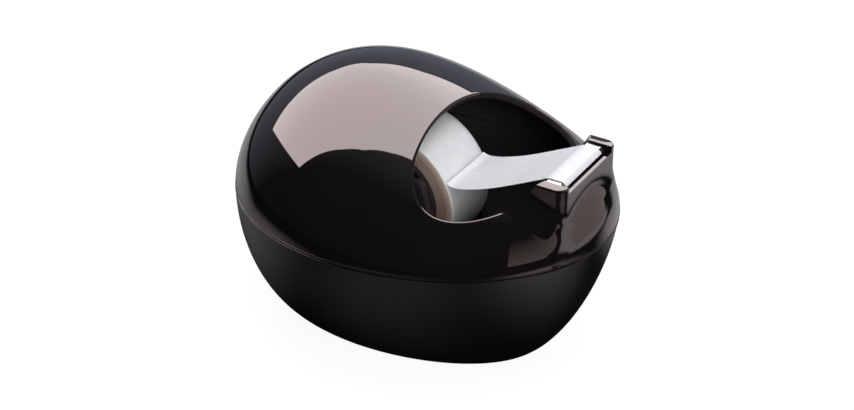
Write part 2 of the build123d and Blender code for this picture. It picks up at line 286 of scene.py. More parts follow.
def grid_faces(rows: int, columns: int, close_rows: bool = False) -> list[tuple[int, ...]]:
    """Quads of a grid whose points are numbered row by row, each row closed into a ring.

    Args:
        rows: number of rings.
        columns: points on each ring.
        close_rows: also joins the last ring to the first.

    Returns:
        Tuples of point numbers.
    """
    faces = []
    for i in range(rows if close_rows else rows - 1):
        for j in range(columns):
            a, b = i * columns + j, i * columns + (j + 1) % columns
            k = (i + 1) % rows
            faces.append((a, b, k * columns + (j + 1) % columns, k * columns + j))
    return faces


def apply_modifiers(piece: bpy.types.Object) -> None:
    """Replaces a piece's mesh by what its modifiers make of it.

    Args:
        piece: mesh object with modifiers.
    """
    graph = bpy.context.evaluated_depsgraph_get()
    made = bpy.data.meshes.new_from_object(piece.evaluated_get(graph))
    piece.modifiers.clear()
    piece.data = made


def corner_arc(corner: np.ndarray, toward_a: np.ndarray, toward_b: np.ndarray, steps: int) -> list:
    """Points of a soft corner between two points beside it, ends left out."""
    weights = [(i + 1) / (steps + 1) for i in range(steps)]
    return [(1 - w) ** 2 * toward_a + 2 * w * (1 - w) * corner + w * w * toward_b for w in weights]


def cast(origins: np.ndarray, directions: np.ndarray, distance: Field, reach: float = 90.0) -> np.ndarray:
    """Where rays leave a solid.

    Args:
        origins: points inside the solid, one or one for each direction.
        directions: unit vectors.
        distance: function that is negative inside the solid.
        reach: longest ray in millimetres.

    Returns:
        The points on the solid's surface.
    """
    near, far = np.zeros(len(directions)), np.full(len(directions), reach)
    for _ in range(CAST_HALVINGS):
        middle = (near + far) / 2
        inside = distance(origins + middle[:, None] * directions) < 0
        near, far = np.where(inside, middle, near), np.where(inside, far, middle)
    return origins + near[:, None] * directions


def make_normals_outward(piece: bpy.types.Object) -> None:
    """Turns a closed mesh's faces outward.

    Args:
        piece: mesh object.
    """
    mesh = bmesh.new()
    mesh.from_mesh(piece.data)
    bmesh.ops.recalc_face_normals(mesh, faces=mesh.faces)
    mesh.to_mesh(piece.data)
    mesh.free()


def cut_away(piece: bpy.types.Object, cutter: bpy.types.Object) -> None:
    """Takes a closed cutter mesh out of a closed piece and removes the cutter.

    Args:
        piece: mesh object that is cut.
        cutter: mesh object of what goes.
    """
    make_normals_outward(cutter)
    cut = piece.modifiers.new("cut", "BOOLEAN")
    cut.operation, cut.solver, cut.object = "DIFFERENCE", "EXACT", cutter
    apply_modifiers(piece)
    bpy.data.objects.remove(cutter)


# ---------------------------------------------------------------- upper shell
@dataclass
class UpperShell:
    """The dome as one closed skin, meshed on meridians round the mouth.

    Args:
        columns: meridians round the mouth.
        outer_rows: points from the parting plane to the mouth's rim outside.
        inner_rows: the same inside.
        rim_round: softening of the rim's two edges.
        foot_round: softening of the outer edge at the parting plane.
        eye: point inside from which the skin is cast.
        probe: small angle that measures how far the skin moves with it.
    """
    columns: int = 360
    outer_rows: int = 130
    inner_rows: int = 40
    rim_round: float = 0.8
    foot_round: float = 0.3
    eye: Vec = (-2.0, 0.0, PARTING)
    probe: float = 0.01

    def build(self) -> bpy.types.Object:
        """Casts the outer and the inner skin from the eye and joins them at the rim and the foot.

        Returns:
            The shell as one closed mesh.
        """
        eye = np.array(self.eye)
        pole = MOUTH_CENTRE - eye
        pole /= np.linalg.norm(pole)
        nose = np.array([1.0, 0.0, 0.0]) - pole[0] * pole
        nose /= np.linalg.norm(nose)
        turns = np.linspace(0, 2 * math.pi, self.columns, endpoint=False)
        spokes = np.cos(turns)[:, None] * nose + np.sin(turns)[:, None] * np.cross(pole, nose)
        level = np.arctan2(pole[2], -spokes[:, 2])      # angle from the pole to the parting plane

        def point(angle: np.ndarray, distance: Field) -> np.ndarray:
            """Points of a skin at an angle from the pole, one for each meridian."""
            look = np.cos(angle)[:, None] * pole + np.sin(angle)[:, None] * spokes
            return cast(eye, look, distance)

        def rim_angle(distance: Field) -> np.ndarray:
            """Finds the mouth's rim on each meridian.

            Args:
                distance: the skin's solid.

            Returns:
                Angles from the pole.
            """
            near, far = np.zeros(self.columns), level
            for _ in range(RIM_HALVINGS):
                middle = (near + far) / 2
                inside = mouth_offset(point(middle, distance)) < 0
                near, far = np.where(inside, middle, near), np.where(inside, far, middle)
            return far

        def skin(distance: Field, count: int) -> tuple[np.ndarray, list[np.ndarray]]:
            """Meshes one skin from the parting plane up to the rim.

            Args:
                distance: the skin's solid.
                count: steps between the plane and the rim.

            Returns:
                The points on the rim, and the rows below it.
            """
            rim = rim_angle(distance)
            at_rim = point(rim, distance)
            moved = np.linalg.norm(point(rim + self.probe, distance) - at_rim, axis=1)
            start = rim + self.probe * self.rim_round / moved
            return at_rim, [point(level + (start - level) * i / count, distance) for i in range(count + 1)]

        rim_out, outer = skin(outer_distance, self.outer_rows)
        rim_in, inner = skin(inner_distance, self.inner_rows)
        down = rim_in - rim_out
        depth = np.linalg.norm(down, axis=1, keepdims=True)
        down /= depth
        middle = (rim_out + down * depth * share for share in (0.4, 0.6))
        wall = [rim_out + down * self.rim_round, *middle, rim_in - down * self.rim_round]
        foot = outer[0] + (inner[0] - outer[0]) * (self.foot_round / WALL)
        lifted = outer[0] + [0, 0, self.foot_round]
        rows = [lifted, *outer[1:], *corner_arc(rim_out, outer[-1], wall[0], steps=3), *wall,
                *corner_arc(rim_in, wall[-1], inner[-1], steps=2), *reversed(inner), foot,
                *corner_arc(outer[0], foot, lifted, steps=2)]
        shell = new_object("upper_shell_skin", np.concatenate(rows),
                           grid_faces(len(rows), self.columns, close_rows=True))
        make_normals_outward(shell)
        return shell

    @staticmethod
    def dress(shell: bpy.types.Object) -> None:
        """Gives the outside its gloss and the inside its plain moulded roughness, with a lighter colour
        painted on as painted light.

        Args:
            shell: the piece that build made.
        """
        paint(shell, GLOSS_SHELL)
        shell.data.materials.append(make_material(INSIDE_SHELL_PAINTED_LIGHT))
        # painted light: faces turned to the housing's middle get the lightened inside colour
        centre = Vector((0, 0, PARTING)) * MM
        for face in shell.data.polygons:
            if face.normal.dot(face.center - centre) < 0:
                face.material_index = 1


@dataclass
class CutterTower:
    """Tower that carries the blade, with the soft foot that runs out into the dome.

    Args:
        around: points round the tower.
        levels: rows from the top edge down to where the foot has sunk into the dome.
        sink: how far the skin lies under the dome's where the foot runs out.
        axis_shift: place of the axis it is cast from, in front of the tower's middle.
        foot_level: lowest place of the foot above the parting plane.
        crown_rows: rows round the top edge.
        run_out: share of the sink at which the foot counts as run out.
        lid_shares, under_shares: places of the rows that close the top and the underside.
        bar_reach: half length of the bar that cuts the mouth.
        over: how far the cutters stand past the tower's top and front.
    """
    around: int = 300
    levels: int = 80
    sink: float = 0.01
    axis_shift: float = 2.0
    foot_level: float = 0.3
    crown_rows: int = 5
    run_out: float = 0.9
    lid_shares: tuple[float, ...] = (0.9, 0.6, 0.3)
    under_shares: tuple[float, ...] = (0.02, 0.3, 0.6, 0.9)
    bar_reach: float = 40.0
    over: tuple[float, float] = (2.0, 3.0)

    def build(self) -> bpy.types.Object:
        """Casts the tower's skin row by row, closes it under the dome and cuts the mouth and the bed.

        Returns:
            The tower as one closed mesh.
        """
        turns = np.linspace(0, 2 * math.pi, self.around, endpoint=False)
        spokes = np.stack([np.cos(turns), np.sin(turns), np.zeros_like(turns)], -1)
        axis = np.array([(TOWER_FRONT_X + TOWER_REAR_X) / 2 + self.axis_shift, 0.0, 0.0])

        def solid(p: np.ndarray) -> np.ndarray:
            """Distance from the blended tower, ended just in front of its rear face."""
            return np.maximum(blended_distance(p) + self.sink, TOWER_REAR_X + 1 - p[..., 0])

        def ring(heights: np.ndarray) -> np.ndarray:
            """Points round the tower, each at its own height."""
            return cast(axis + heights[:, None] * [0, 0, 1], spokes, solid)

        top = np.full(self.around, TOWER_TOP - self.sink - TOWER_EDGE)
        low = np.full(self.around, PARTING + self.foot_level)
        high = top.copy()
        for _ in range(FOOT_HALVINGS):
            middle = (low + high) / 2
            sunk = dome_distance(ring(middle), 0.0) < -self.run_out * self.sink
            low, high = np.where(sunk, middle, low), np.where(sunk, high, middle)
        rows = [ring(top + (low - top) * i / self.levels) for i in range(self.levels + 1)]
        edge = rows[0]
        inward = (axis - edge) * [1, 1, 0]
        inward /= np.linalg.norm(inward, axis=1, keepdims=True)
        crown = []
        for i in range(self.crown_rows):
            turn = math.pi / 2 * (1 - i / self.crown_rows)
            rise = [0, 0, TOWER_EDGE * math.sin(turn)]
            crown.append(edge + inward * TOWER_EDGE * (1 - math.cos(turn)) + rise)
        to_axis = axis + [0, 0, TOWER_TOP - self.sink] - crown[0]
        lid = [crown[0] + to_axis * share for share in self.lid_shares]
        under = []
        for share in self.under_shares:
            flat = rows[-1] + (axis - rows[-1]) * [share, share, 0]
            under.append(self.sunk_into_dome(flat))
        rows = [*lid, *crown, *rows, *under]
        count = len(rows) * self.around
        points = np.concatenate(rows)
        faces = grid_faces(len(rows), self.around)
        faces += [tuple(range(self.around)), tuple(range(count - 1, count - 1 - self.around, -1))]
        tower = new_object("cutter_tower_skin", points, faces)
        make_normals_outward(tower)
        cut_away(tower, self.mouth_bar())
        cut_away(tower, self.blade_bed())
        smooth(tower, angle=30.0)
        return tower

    @staticmethod
    def dress(tower: bpy.types.Object) -> None:
        """Gives the tower the shell's gloss."""
        paint(tower, GLOSS_SHELL)

    @staticmethod
    def sunk_into_dome(points: np.ndarray) -> np.ndarray:
        """Moves points up or down to the middle of the dome's wall.

        Args:
            points: places over the dome.

        Returns:
            The same places at the wall's height.
        """
        low, high = np.full(len(points), PARTING), np.full(len(points), TOWER_TOP)
        for _ in range(FOOT_HALVINGS):
            middle = (low + high) / 2
            inside = dome_distance(np.stack([points[:, 0], points[:, 1], middle], -1), WALL / 2) < 0
            low, high = np.where(inside, middle, low), np.where(inside, high, middle)
        return np.stack([points[:, 0], points[:, 1], low], -1)

    def mouth_bar(self, sides: int = 240) -> bpy.types.Object:
        """Makes the slanted oval bar that opens the mouth.

        Args:
            sides: flat sides round the bar.

        Returns:
            The bar, to be cut away.
        """
        turns = np.linspace(0, 2 * math.pi, sides, endpoint=False)
        across = np.array([math.cos(MOUTH_TILT), 0, -math.sin(MOUTH_TILT)])
        axis = np.array([math.sin(MOUTH_TILT), 0, math.cos(MOUTH_TILT)])
        ring = (MOUTH_CENTRE + MOUTH_HALF_LENGTH * np.cos(turns)[:, None] * across
                + MOUTH_HALF_WIDTH * np.sin(turns)[:, None] * [0, 1, 0])
        points = np.concatenate([ring - self.bar_reach * axis, ring + self.bar_reach * axis])
        faces = grid_faces(2, sides) + [tuple(range(sides)), tuple(range(2 * sides - 1, sides - 1, -1))]
        return new_object("mouth_bar", points, faces)

    def blade_bed(self) -> bpy.types.Object:
        """Makes what is cut out between the ears: the blade's seat, the trough and the space over the lip.

        Returns:
            The bed, to be cut away.
        """
        half = BLADE_WIDTH / 2 + BLADE_SIDE_GAP
        seat = BLADE_TOP - BLADE_THICKNESS
        above, front = TOWER_TOP + self.over[0], TOWER_FRONT_X + self.over[1]
        trough_rear, lip_rear = BLADE_BEND_X - BLADE_THICKNESS, TOWER_FRONT_X - LIP_WALL
        outline = [(TOWER_REAR_X, above), (TOWER_REAR_X, seat), (trough_rear, seat),
                   (trough_rear, seat - GUTTER_DEPTH), (lip_rear, seat - GUTTER_DEPTH),
                   (lip_rear, TOWER_TOP - LIP_DROP), (front, TOWER_TOP - LIP_DROP), (front, above)]
        count = len(outline)
        points = [(x, y, z) for y in (-half, half) for x, z in outline]
        faces = [tuple(range(count)), tuple(range(2 * count - 1, count - 1, -1))]
        faces += [(i, count + i, count + (i + 1) % count, (i + 1) % count) for i in range(count)]
        return new_object("blade_bed", points, faces)


@dataclass
class SeamBead:
    """Thin rounded bead that catches the light along an edge of the seam.

    Args:
        name: the piece's name.
        height: of the seam's edge above the table.
        radius: of the bead.
        proud: how far it stands out of the shell.
        around: points round the housing.
        sides: points round the bead.
    """
    name: str
    height: float
    radius: float = 0.22
    proud: float = 0.10
    around: int = 400
    sides: int = 12

    def build(self) -> bpy.types.Object:
        """Runs the bead round the housing, just inside the edge of its shell.

        Returns:
            The bead as a closed ring.
        """
        turns = np.linspace(0, 2 * math.pi, self.around, endpoint=False)
        line = bowl_ring(self.height, 0.0, turns)
        tangent = np.roll(line, -1, axis=0) - np.roll(line, 1, axis=0)
        tangent /= np.linalg.norm(tangent, axis=1, keepdims=True)
        outward = np.stack([tangent[:, 1], -tangent[:, 0], np.zeros(self.around)], -1)
        side = 1 if self.height == PARTING else -1
        sunk = self.radius - self.proud
        centre = line - outward * sunk + [0, 0, side * sunk]
        rows = []
        for turn in np.linspace(0, 2 * math.pi, self.sides, endpoint=False):
            rows.append(centre + self.radius * (math.cos(turn) * outward + [0, 0, math.sin(turn)]))
        faces = grid_faces(self.sides, self.around, close_rows=True)
        bead = new_object(self.name, np.concatenate(rows), faces, smooth_angle=60.0)
        make_normals_outward(bead)
        return bead

    @staticmethod
    def dress(bead: bpy.types.Object) -> None:
        """Gives the bead the shell's gloss."""
        paint(bead, GLOSS_SHELL)


# ---------------------------------------------------------------- tape
def revolve(name: str, profile: list[tuple[float, float]],
            segments: int = 160) -> bpy.types.Object:
    """Makes a closed ring about the roll's axis.

    Args:
        name: the piece's name.
        profile: closed outline as (radius, place along Y) pairs.
        segments: sides of the ring.

    Returns:
        The ring, with its origin in the roll's centre.
    """
    turns = np.linspace(0, 2 * math.pi, segments, endpoint=False)
    rows = [np.stack([radius * np.cos(turns), np.full(segments, y), radius * np.sin(turns)], -1)
            for radius, y in profile]
    faces = grid_faces(len(rows), segments, close_rows=True)
    ring = new_object(name, np.concatenate(rows), faces, smooth_angle=50.0)
    make_normals_outward(ring)
    ring.location = Vector(ROLL_CENTRE) * MM
    return ring


@dataclass
class WoundTape:
    """Roll of tape whose edge shows its turns.

    Args:
        turns_shown: steps across the wound edge.
        unevenness: how far single turns stand proud.
        edge_round: softening of the outer turn's edges.
        winding_gap: between the core and the innermost turn.
        rim_rows: rows across the outermost turn.
        seed: of the draws that set single turns proud.
    """
    turns_shown: int = 34
    unevenness: float = 0.035
    edge_round: float = 0.12
    winding_gap: float = 0.02
    rim_rows: int = 24
    seed: int = 7

    def build(self) -> bpy.types.Object:
        """Turns the roll's outline about its axis, with uneven turns on both edges.

        Returns:
            The wound tape as a closed ring.
        """
        rng = np.random.default_rng(self.seed)
        half = TAPE_WIDTH / 2
        bore = CORE_OUTER_RADIUS + self.winding_gap
        radii = np.linspace(bore, ROLL_RADIUS - self.edge_round, self.turns_shown)
        near = [(r, -half + self.unevenness * rng.random()) for r in radii]
        far = [(r, half - self.unevenness * rng.random()) for r in radii]
        flat = half - self.edge_round
        rim = [(ROLL_RADIUS, y) for y in np.linspace(-flat, flat, self.rim_rows)]
        return revolve("wound_tape", [*near, *rim, *reversed(far)])

    @staticmethod
    def dress(roll: bpy.types.Object) -> None:
        """Gives the roll frosted film round it and the rings of its turns on both edges.

        Args:
            roll: the piece that build made.
        """
        paint(roll, WOUND)
        roll.data.materials.append(edge_rings(WOUND_EDGE, TURN_RINGS))
        for face in roll.data.polygons:
            face.material_index = 1 if abs(face.normal.y) > EDGE_FACING else 0


@dataclass
class FreeTape:
    """Tape that runs from the roll over the blade's teeth.

    Args:
        thickness: as in the CAD.
        roll_gap, blade_gap: clearance over the roll and over the blade.
        leave_angle: place on the roll where it starts, above horizontal.
        fall: slope of its end over the teeth.
        overhang: length of that end, longer than the CAD's.
        bends: shares of the run and the rise, from the roll to the blade's rear edge.
        bow: how far the middle of its width hangs below the edges.
        steps: points on each stretch between two bends.
        across: points across its width.
    """
    thickness: float = 0.15
    roll_gap: float = 0.3
    blade_gap: float = 0.12
    leave_angle: float = math.radians(28.0)
    fall: float = math.radians(48.0)
    overhang: float = 1.3
    bends: tuple[tuple[float, float], ...] = ((0.08, -0.04), (0.23, 0.05), (0.48, 0.31), (0.90, 0.87))
    bow: float = 0.35
    steps: int = 16
    across: int = 30

    def path(self) -> np.ndarray:
        """Draws the centre line in side view through the bends.

        Returns:
            (x, z) points from the roll to the tape's end.
        """
        reach = ROLL_RADIUS + self.roll_gap + self.thickness / 2
        start = np.array([ROLL_CENTRE[0] + reach * math.cos(self.leave_angle),
                          ROLL_CENTRE[2] + reach * math.sin(self.leave_angle)])
        height = BLADE_TOP + self.blade_gap + self.thickness / 2
        rear = np.array([BLADE_REAR_X, height])
        knots = [start, *(start + (rear - start) * np.array(bend) for bend in self.bends), rear,
                 np.array([BLADE_BEND_X, height])]
        points = []
        for i in range(len(knots) - 1):
            a, b = knots[max(i - 1, 0)], knots[i]
            c, d = knots[i + 1], knots[min(i + 2, len(knots) - 1)]
            for t in np.linspace(0, 1, self.steps, endpoint=False):
                points.append(0.5 * (2 * b + (c - a) * t + (2 * a - 5 * b + 4 * c - d) * t**2
                                     + (3 * b - a - 3 * c + d) * t**3))
        points.append(knots[-1])
        tip = knots[-1] + [self.overhang * math.cos(self.fall) + self.blade_gap,
                           -self.overhang * math.sin(self.fall)]
        return np.array([*points, tip])

    def build(self) -> bpy.types.Object:
        """Sweeps the tape's section along its path, its middle bowed down between roll and blade.

        Returns:
            The ribbon as a closed mesh.
        """
        line = self.path()
        along = np.gradient(line, axis=0)
        along /= np.linalg.norm(along, axis=1, keepdims=True)
        up = np.stack([-along[:, 1], along[:, 0]], -1)
        share = np.clip((line[:, 0] - line[0, 0]) / (BLADE_REAR_X - line[0, 0]), 0, 1)
        sag = self.bow * np.sin(math.pi * share) ** 2
        sides = np.linspace(-1, 1, self.across)
        rows = []
        for i in range(len(line)):
            drop = sag[i] * (1 - sides**2)
            faces = []
            for sign in (0.5, -0.5):
                xz = line[i] + up[i] * (sign * self.thickness) - up[i] * drop[:, None]
                faces.append(np.stack([xz[:, 0], sides * TAPE_WIDTH / 2, xz[:, 1]], -1))
            rows.append(np.concatenate([faces[0], faces[1][::-1]]))
        count = 2 * self.across
        ribbon_faces = grid_faces(len(rows), count)
        last = (len(rows) - 1) * count
        for base in (0, last):
            for j in range(self.across - 1):
                ribbon_faces.append((base + j, base + j + 1, base + count - 2 - j, base + count - 1 - j))
        tape = new_object("free_tape", np.concatenate(rows), ribbon_faces, smooth_angle=40.0)
        make_normals_outward(tape)
        return tape

    @staticmethod
    def dress(tape: bpy.types.Object) -> None:
        """Gives the tape its frosted film."""
        paint(tape, FILM)


# ---------------------------------------------------------------- finishes
@dataclass(frozen=True)
class Finish:
    """What a material looks like, told by a few numbers.

    Args:
        name: the piece's material slot.
        dark, light: the two colours that its mottling mixes.
        rough: lowest and highest roughness.
        grain: size of the mottling in millimetres.
        bump: height of the surface's unevenness in millimetres.
        stretch: how much longer the mottling is along Y.
        metallic, ior, alpha: as the shader has them.
        tint: colour of its reflections.
        inside: where set, a lighter colour painted on the faces turned to the housing's middle, as painted
            light where little light reaches.
        depth: how far light goes into it, in millimetres.
    """
    name: str
    dark: Colour
    light: Colour
    rough: tuple[float, float]
    grain: float
    bump: float = 0.0
    stretch: float = 1.0
    metallic: float = 0.0
    ior: float = 1.5
    alpha: float = 1.0
    tint: Colour = (1.0, 1.0, 1.0)
    inside: Colour | tuple = ()
    depth: float = 0.0


GLOSS_SHELL = Finish("gloss_black_shell", (0.0030, 0.0026, 0.0026), (0.0045, 0.0040, 0.0040), (0.012, 0.03),
                     6.0, ior=2.0, tint=(1.0, 0.81, 0.79))
# inside of the shells: matt moulded roughness and bumps, with a colour lightened as painted light where
# little light reaches
INSIDE_SHELL_PAINTED_LIGHT = Finish("inside_shell_painted_light", (0.030, 0.024, 0.028), (0.042, 0.034, 0.039), (0.3, 0.4), 2.0,
                      bump=0.002)
# the satin shell's inside colour is painted light on its inner faces
SATIN_SHELL = Finish("satin_black_shell", (0.0030, 0.0030, 0.0028), (0.0048, 0.0048, 0.0044), (0.20, 0.27),
                     1.2, bump=0.002, ior=1.55, inside=(0.040, 0.033, 0.037), tint=(1.0, 0.93, 0.89))
HUB = Finish("hub_plastic", (0.020, 0.018, 0.018), (0.032, 0.029, 0.028), (0.38, 0.5), 0.8, bump=0.004)
CORE = Finish("core_card", (0.030, 0.026, 0.024), (0.060, 0.052, 0.047), (0.55, 0.7), 0.7, bump=0.01)
STEEL = Finish("blade_steel", (0.84, 0.84, 0.83), (0.95, 0.95, 0.94), (0.22, 0.40), 0.25, bump=0.001,
               stretch=14.0, metallic=1.0)
SCREW = Finish("screw_steel", (0.42, 0.42, 0.42), (0.60, 0.60, 0.58), (0.28, 0.42), 0.4, bump=0.002,
               metallic=1.0)
IRON = Finish("ballast_iron", (0.035, 0.034, 0.033), (0.075, 0.072, 0.069), (0.55, 0.75), 1.6, bump=0.05,
              metallic=0.6)
FOAM = Finish("pad_foam", (0.016, 0.016, 0.016), (0.035, 0.035, 0.035), (0.8, 0.95), 0.5, bump=0.04)
FILM = Finish("tape_film", (0.72, 0.72, 0.75), (0.84, 0.84, 0.86), (0.36, 0.46), 2.4, bump=0.003,
              alpha=0.9)
WOUND = Finish("tape_wound", (0.68, 0.69, 0.70), (0.80, 0.81, 0.82), (0.38, 0.46), 3.0, bump=0.003,
               depth=5.0)
WOUND_EDGE = Finish("tape_wound_edge", (0.28, 0.19, 0.16), (0.46, 0.34, 0.29), (0.5, 0.62), 0.5, bump=0.01,
                    depth=1.5)

SUBSURFACE_WEIGHT, SUBSURFACE_RADIUS = 0.55, (1.0, 0.88, 0.80)      # of the wound film
BROAD_DETAIL, FINE_DETAIL, FINE_SHARE = 2.0, 4.0, 0.35               # of the two noises of a grain
FINE_RATE = 5.0              # how much finer the second noise is
EDGE_FACING = 0.7            # a face turned more than this along Y is on the wound edge


@dataclass(frozen=True)
class TurnRings:
    """Rings that single turns draw on the wound edge.

    Args:
        rate: rings on a millimetre.
        detail: of the noise that draws them.
        strength: how much they show.
        pale: colour towards the outermost turn.
        pale_reach: width over which the edge grows pale, in millimetres.
    """
    rate: float
    detail: float
    strength: float
    pale: Colour
    pale_reach: float


TURN_RINGS = TurnRings(rate=4.0, detail=3.0, strength=0.35, pale=(0.72, 0.62, 0.56), pale_reach=2.2)


def grain_group() -> bpy.types.NodeTree:
    """Node group that turns a grain size into a colour mix, a roughness and a height.

    Returns:
        The group, built once.
    """
    group = bpy.data.node_groups.get("surface_grain")
    if group:
        return group
    group = bpy.data.node_groups.new("surface_grain", "ShaderNodeTree")
    for name, kind in (("Scale", "NodeSocketFloat"), ("Stretch", "NodeSocketFloat"),
                       ("Dark", "NodeSocketColor"), ("Light", "NodeSocketColor"),
                       ("Smoothest", "NodeSocketFloat"), ("Roughest", "NodeSocketFloat")):
        group.interface.new_socket(name, in_out="INPUT", socket_type=kind)
    for name, kind in (("Color", "NodeSocketColor"), ("Roughness", "NodeSocketFloat"),
                       ("Height", "NodeSocketFloat")):
        group.interface.new_socket(name, in_out="OUTPUT", socket_type=kind)
    nodes, links = group.nodes, group.links
    inp, out = nodes.new("NodeGroupInput"), nodes.new("NodeGroupOutput")
    place = nodes.new("ShaderNodeTexCoord")
    squeeze = nodes.new("ShaderNodeCombineXYZ")
    squeeze.inputs["X"].default_value = squeeze.inputs["Z"].default_value = 1.0
    shrink = nodes.new("ShaderNodeMath")
    shrink.operation = "DIVIDE"
    shrink.inputs[0].default_value = 1.0
    links.new(inp.outputs["Stretch"], shrink.inputs[1])
    links.new(shrink.outputs[0], squeeze.inputs["Y"])
    scaled = nodes.new("ShaderNodeVectorMath")
    scaled.operation = "MULTIPLY"
    links.new(place.outputs["Object"], scaled.inputs[0])
    links.new(squeeze.outputs[0], scaled.inputs[1])
    broad, fine = nodes.new("ShaderNodeTexNoise"), nodes.new("ShaderNodeTexNoise")
    broad.inputs["Detail"].default_value, fine.inputs["Detail"].default_value = BROAD_DETAIL, FINE_DETAIL
    quicker = nodes.new("ShaderNodeMath")
    quicker.operation = "MULTIPLY"
    quicker.inputs[1].default_value = FINE_RATE
    links.new(inp.outputs["Scale"], quicker.inputs[0])
    for noise, scale in ((broad, inp.outputs["Scale"]), (fine, quicker.outputs[0])):
        links.new(scaled.outputs[0], noise.inputs["Vector"])
        links.new(scale, noise.inputs["Scale"])
    mix = nodes.new("ShaderNodeMix")
    mix.data_type = "RGBA"
    links.new(broad.outputs["Fac"], mix.inputs["Factor"])
    links.new(inp.outputs["Dark"], mix.inputs["A"])
    links.new(inp.outputs["Light"], mix.inputs["B"])
    ramp = nodes.new("ShaderNodeMapRange")
    links.new(fine.outputs["Fac"], ramp.inputs["Value"])
    links.new(inp.outputs["Smoothest"], ramp.inputs["To Min"])
    links.new(inp.outputs["Roughest"], ramp.inputs["To Max"])
    total = nodes.new("ShaderNodeMath")
    total.operation = "MULTIPLY_ADD"
    total.inputs[1].default_value = FINE_SHARE
    links.new(fine.outputs["Fac"], total.inputs[0])
    links.new(broad.outputs["Fac"], total.inputs[2])
    links.new(mix.outputs["Result"], out.inputs["Color"])
    links.new(ramp.outputs["Result"], out.inputs["Roughness"])
    links.new(total.outputs[0], out.inputs["Height"])
    return group


def make_material(finish: Finish) -> bpy.types.Material:
    """Builds a finish as a material: the shared grain group feeds its own shader.

    Args:
        finish: what it looks like.

    Returns:
        The material, built once for each finish.
    """
    name = f"look_{finish.name}"
    material = bpy.data.materials.get(name)
    if material:
        return material
    material = bpy.data.materials.new(name)
    material.use_nodes = True
    nodes, links = material.node_tree.nodes, material.node_tree.links
    shader = nodes["Principled BSDF"]
    grain = nodes.new("ShaderNodeGroup")
    grain.node_tree = grain_group()
    grain.inputs["Scale"].default_value = 1 / (finish.grain * MM)
    grain.inputs["Stretch"].default_value = finish.stretch
    grain.inputs["Dark"].default_value = (*finish.dark, 1.0)
    grain.inputs["Light"].default_value = (*finish.light, 1.0)
    grain.inputs["Smoothest"].default_value, grain.inputs["Roughest"].default_value = finish.rough
    colour = grain.outputs["Color"]
    # painted light: faces turned to the housing's middle take the lighter inside colour
    if finish.inside:
        place, inward = nodes.new("ShaderNodeNewGeometry"), nodes.new("ShaderNodeVectorMath")
        middle, mix = nodes.new("ShaderNodeVectorMath"), nodes.new("ShaderNodeMix")
        middle.operation, inward.operation, mix.data_type = "SUBTRACT", "DOT_PRODUCT", "RGBA"
        middle.inputs[1].default_value = (0, 0, PARTING * MM)
        inside_light_mask = nodes.new("ShaderNodeMath")
        inside_light_mask.operation = "LESS_THAN"
        inside_light_mask.inputs[1].default_value = 0.0
        mix.inputs["B"].default_value = (*finish.inside, 1)
        links.new(place.outputs["Position"], middle.inputs[0])
        links.new(middle.outputs[0], inward.inputs[0])
        links.new(place.outputs["Normal"], inward.inputs[1])
        links.new(inward.outputs["Value"], inside_light_mask.inputs[0])
        links.new(inside_light_mask.outputs[0], mix.inputs["Factor"])
        links.new(colour, mix.inputs["A"])
        colour = mix.outputs["Result"]
    links.new(colour, shader.inputs["Base Color"])
    links.new(grain.outputs["Roughness"], shader.inputs["Roughness"])
    shader.inputs["Metallic"].default_value = finish.metallic
    shader.inputs["IOR"].default_value = finish.ior
    shader.inputs["Alpha"].default_value = finish.alpha
    if finish.depth:
        shader.inputs["Subsurface Weight"].default_value = SUBSURFACE_WEIGHT
        shader.inputs["Subsurface Radius"].default_value = SUBSURFACE_RADIUS
        shader.inputs["Subsurface Scale"].default_value = finish.depth * MM
    shader.inputs["Specular Tint"].default_value = (*finish.tint, 1.0)
    if finish.bump:
        bump = nodes.new("ShaderNodeBump")
        bump.inputs["Distance"].default_value = finish.bump * MM
        links.new(grain.outputs["Height"], bump.inputs["Height"])
        links.new(bump.outputs["Normal"], shader.inputs["Normal"])
    return material


def paint(piece: bpy.types.Object, finish: Finish) -> None:
    """Gives a piece one finish all over."""
    piece.data.materials.clear()
    piece.data.materials.append(make_material(finish))


def edge_rings(finish: Finish, drawn: TurnRings) -> bpy.types.Material:
    """Adds the rings of single turns to the wound edge's material.

    Args:
        finish: of the wound edge.
        drawn: what the rings look like.

    Returns:
        The finished material.
    """
    material = make_material(finish)
    nodes, links = material.node_tree.nodes, material.node_tree.links
    shader = nodes["Principled BSDF"]
    grain = next(n for n in nodes if n.type == "GROUP")
    place = nodes.new("ShaderNodeTexCoord")
    flat = nodes.new("ShaderNodeVectorMath")
    flat.operation = "MULTIPLY"
    flat.inputs[1].default_value = (1, 0, 1)
    links.new(place.outputs["Object"], flat.inputs[0])
    radius = nodes.new("ShaderNodeVectorMath")
    radius.operation = "LENGTH"
    links.new(flat.outputs[0], radius.inputs[0])
    rings = nodes.new("ShaderNodeTexNoise")
    rings.noise_dimensions = "1D"
    rings.inputs["Scale"].default_value = drawn.rate / MM
    rings.inputs["Detail"].default_value = drawn.detail
    links.new(radius.outputs["Value"], rings.inputs["W"])
    outward = nodes.new("ShaderNodeMapRange")
    outward.inputs["From Min"].default_value = (ROLL_RADIUS - drawn.pale_reach) * MM
    outward.inputs["From Max"].default_value = ROLL_RADIUS * MM
    links.new(radius.outputs["Value"], outward.inputs["Value"])
    ringed = nodes.new("ShaderNodeMix")
    ringed.data_type, ringed.blend_type = "RGBA", "OVERLAY"
    ringed.inputs["Factor"].default_value = drawn.strength
    links.new(grain.outputs["Color"], ringed.inputs["A"])
    links.new(rings.outputs["Fac"], ringed.inputs["B"])
    pale = nodes.new("ShaderNodeMix")
    pale.data_type = "RGBA"
    pale.inputs["B"].default_value = (*drawn.pale, 1.0)
    links.new(outward.outputs["Result"], pale.inputs["Factor"])
    links.new(ringed.outputs["Result"], pale.inputs["A"])
    links.new(pale.outputs["Result"], shader.inputs["Base Color"])
    return material


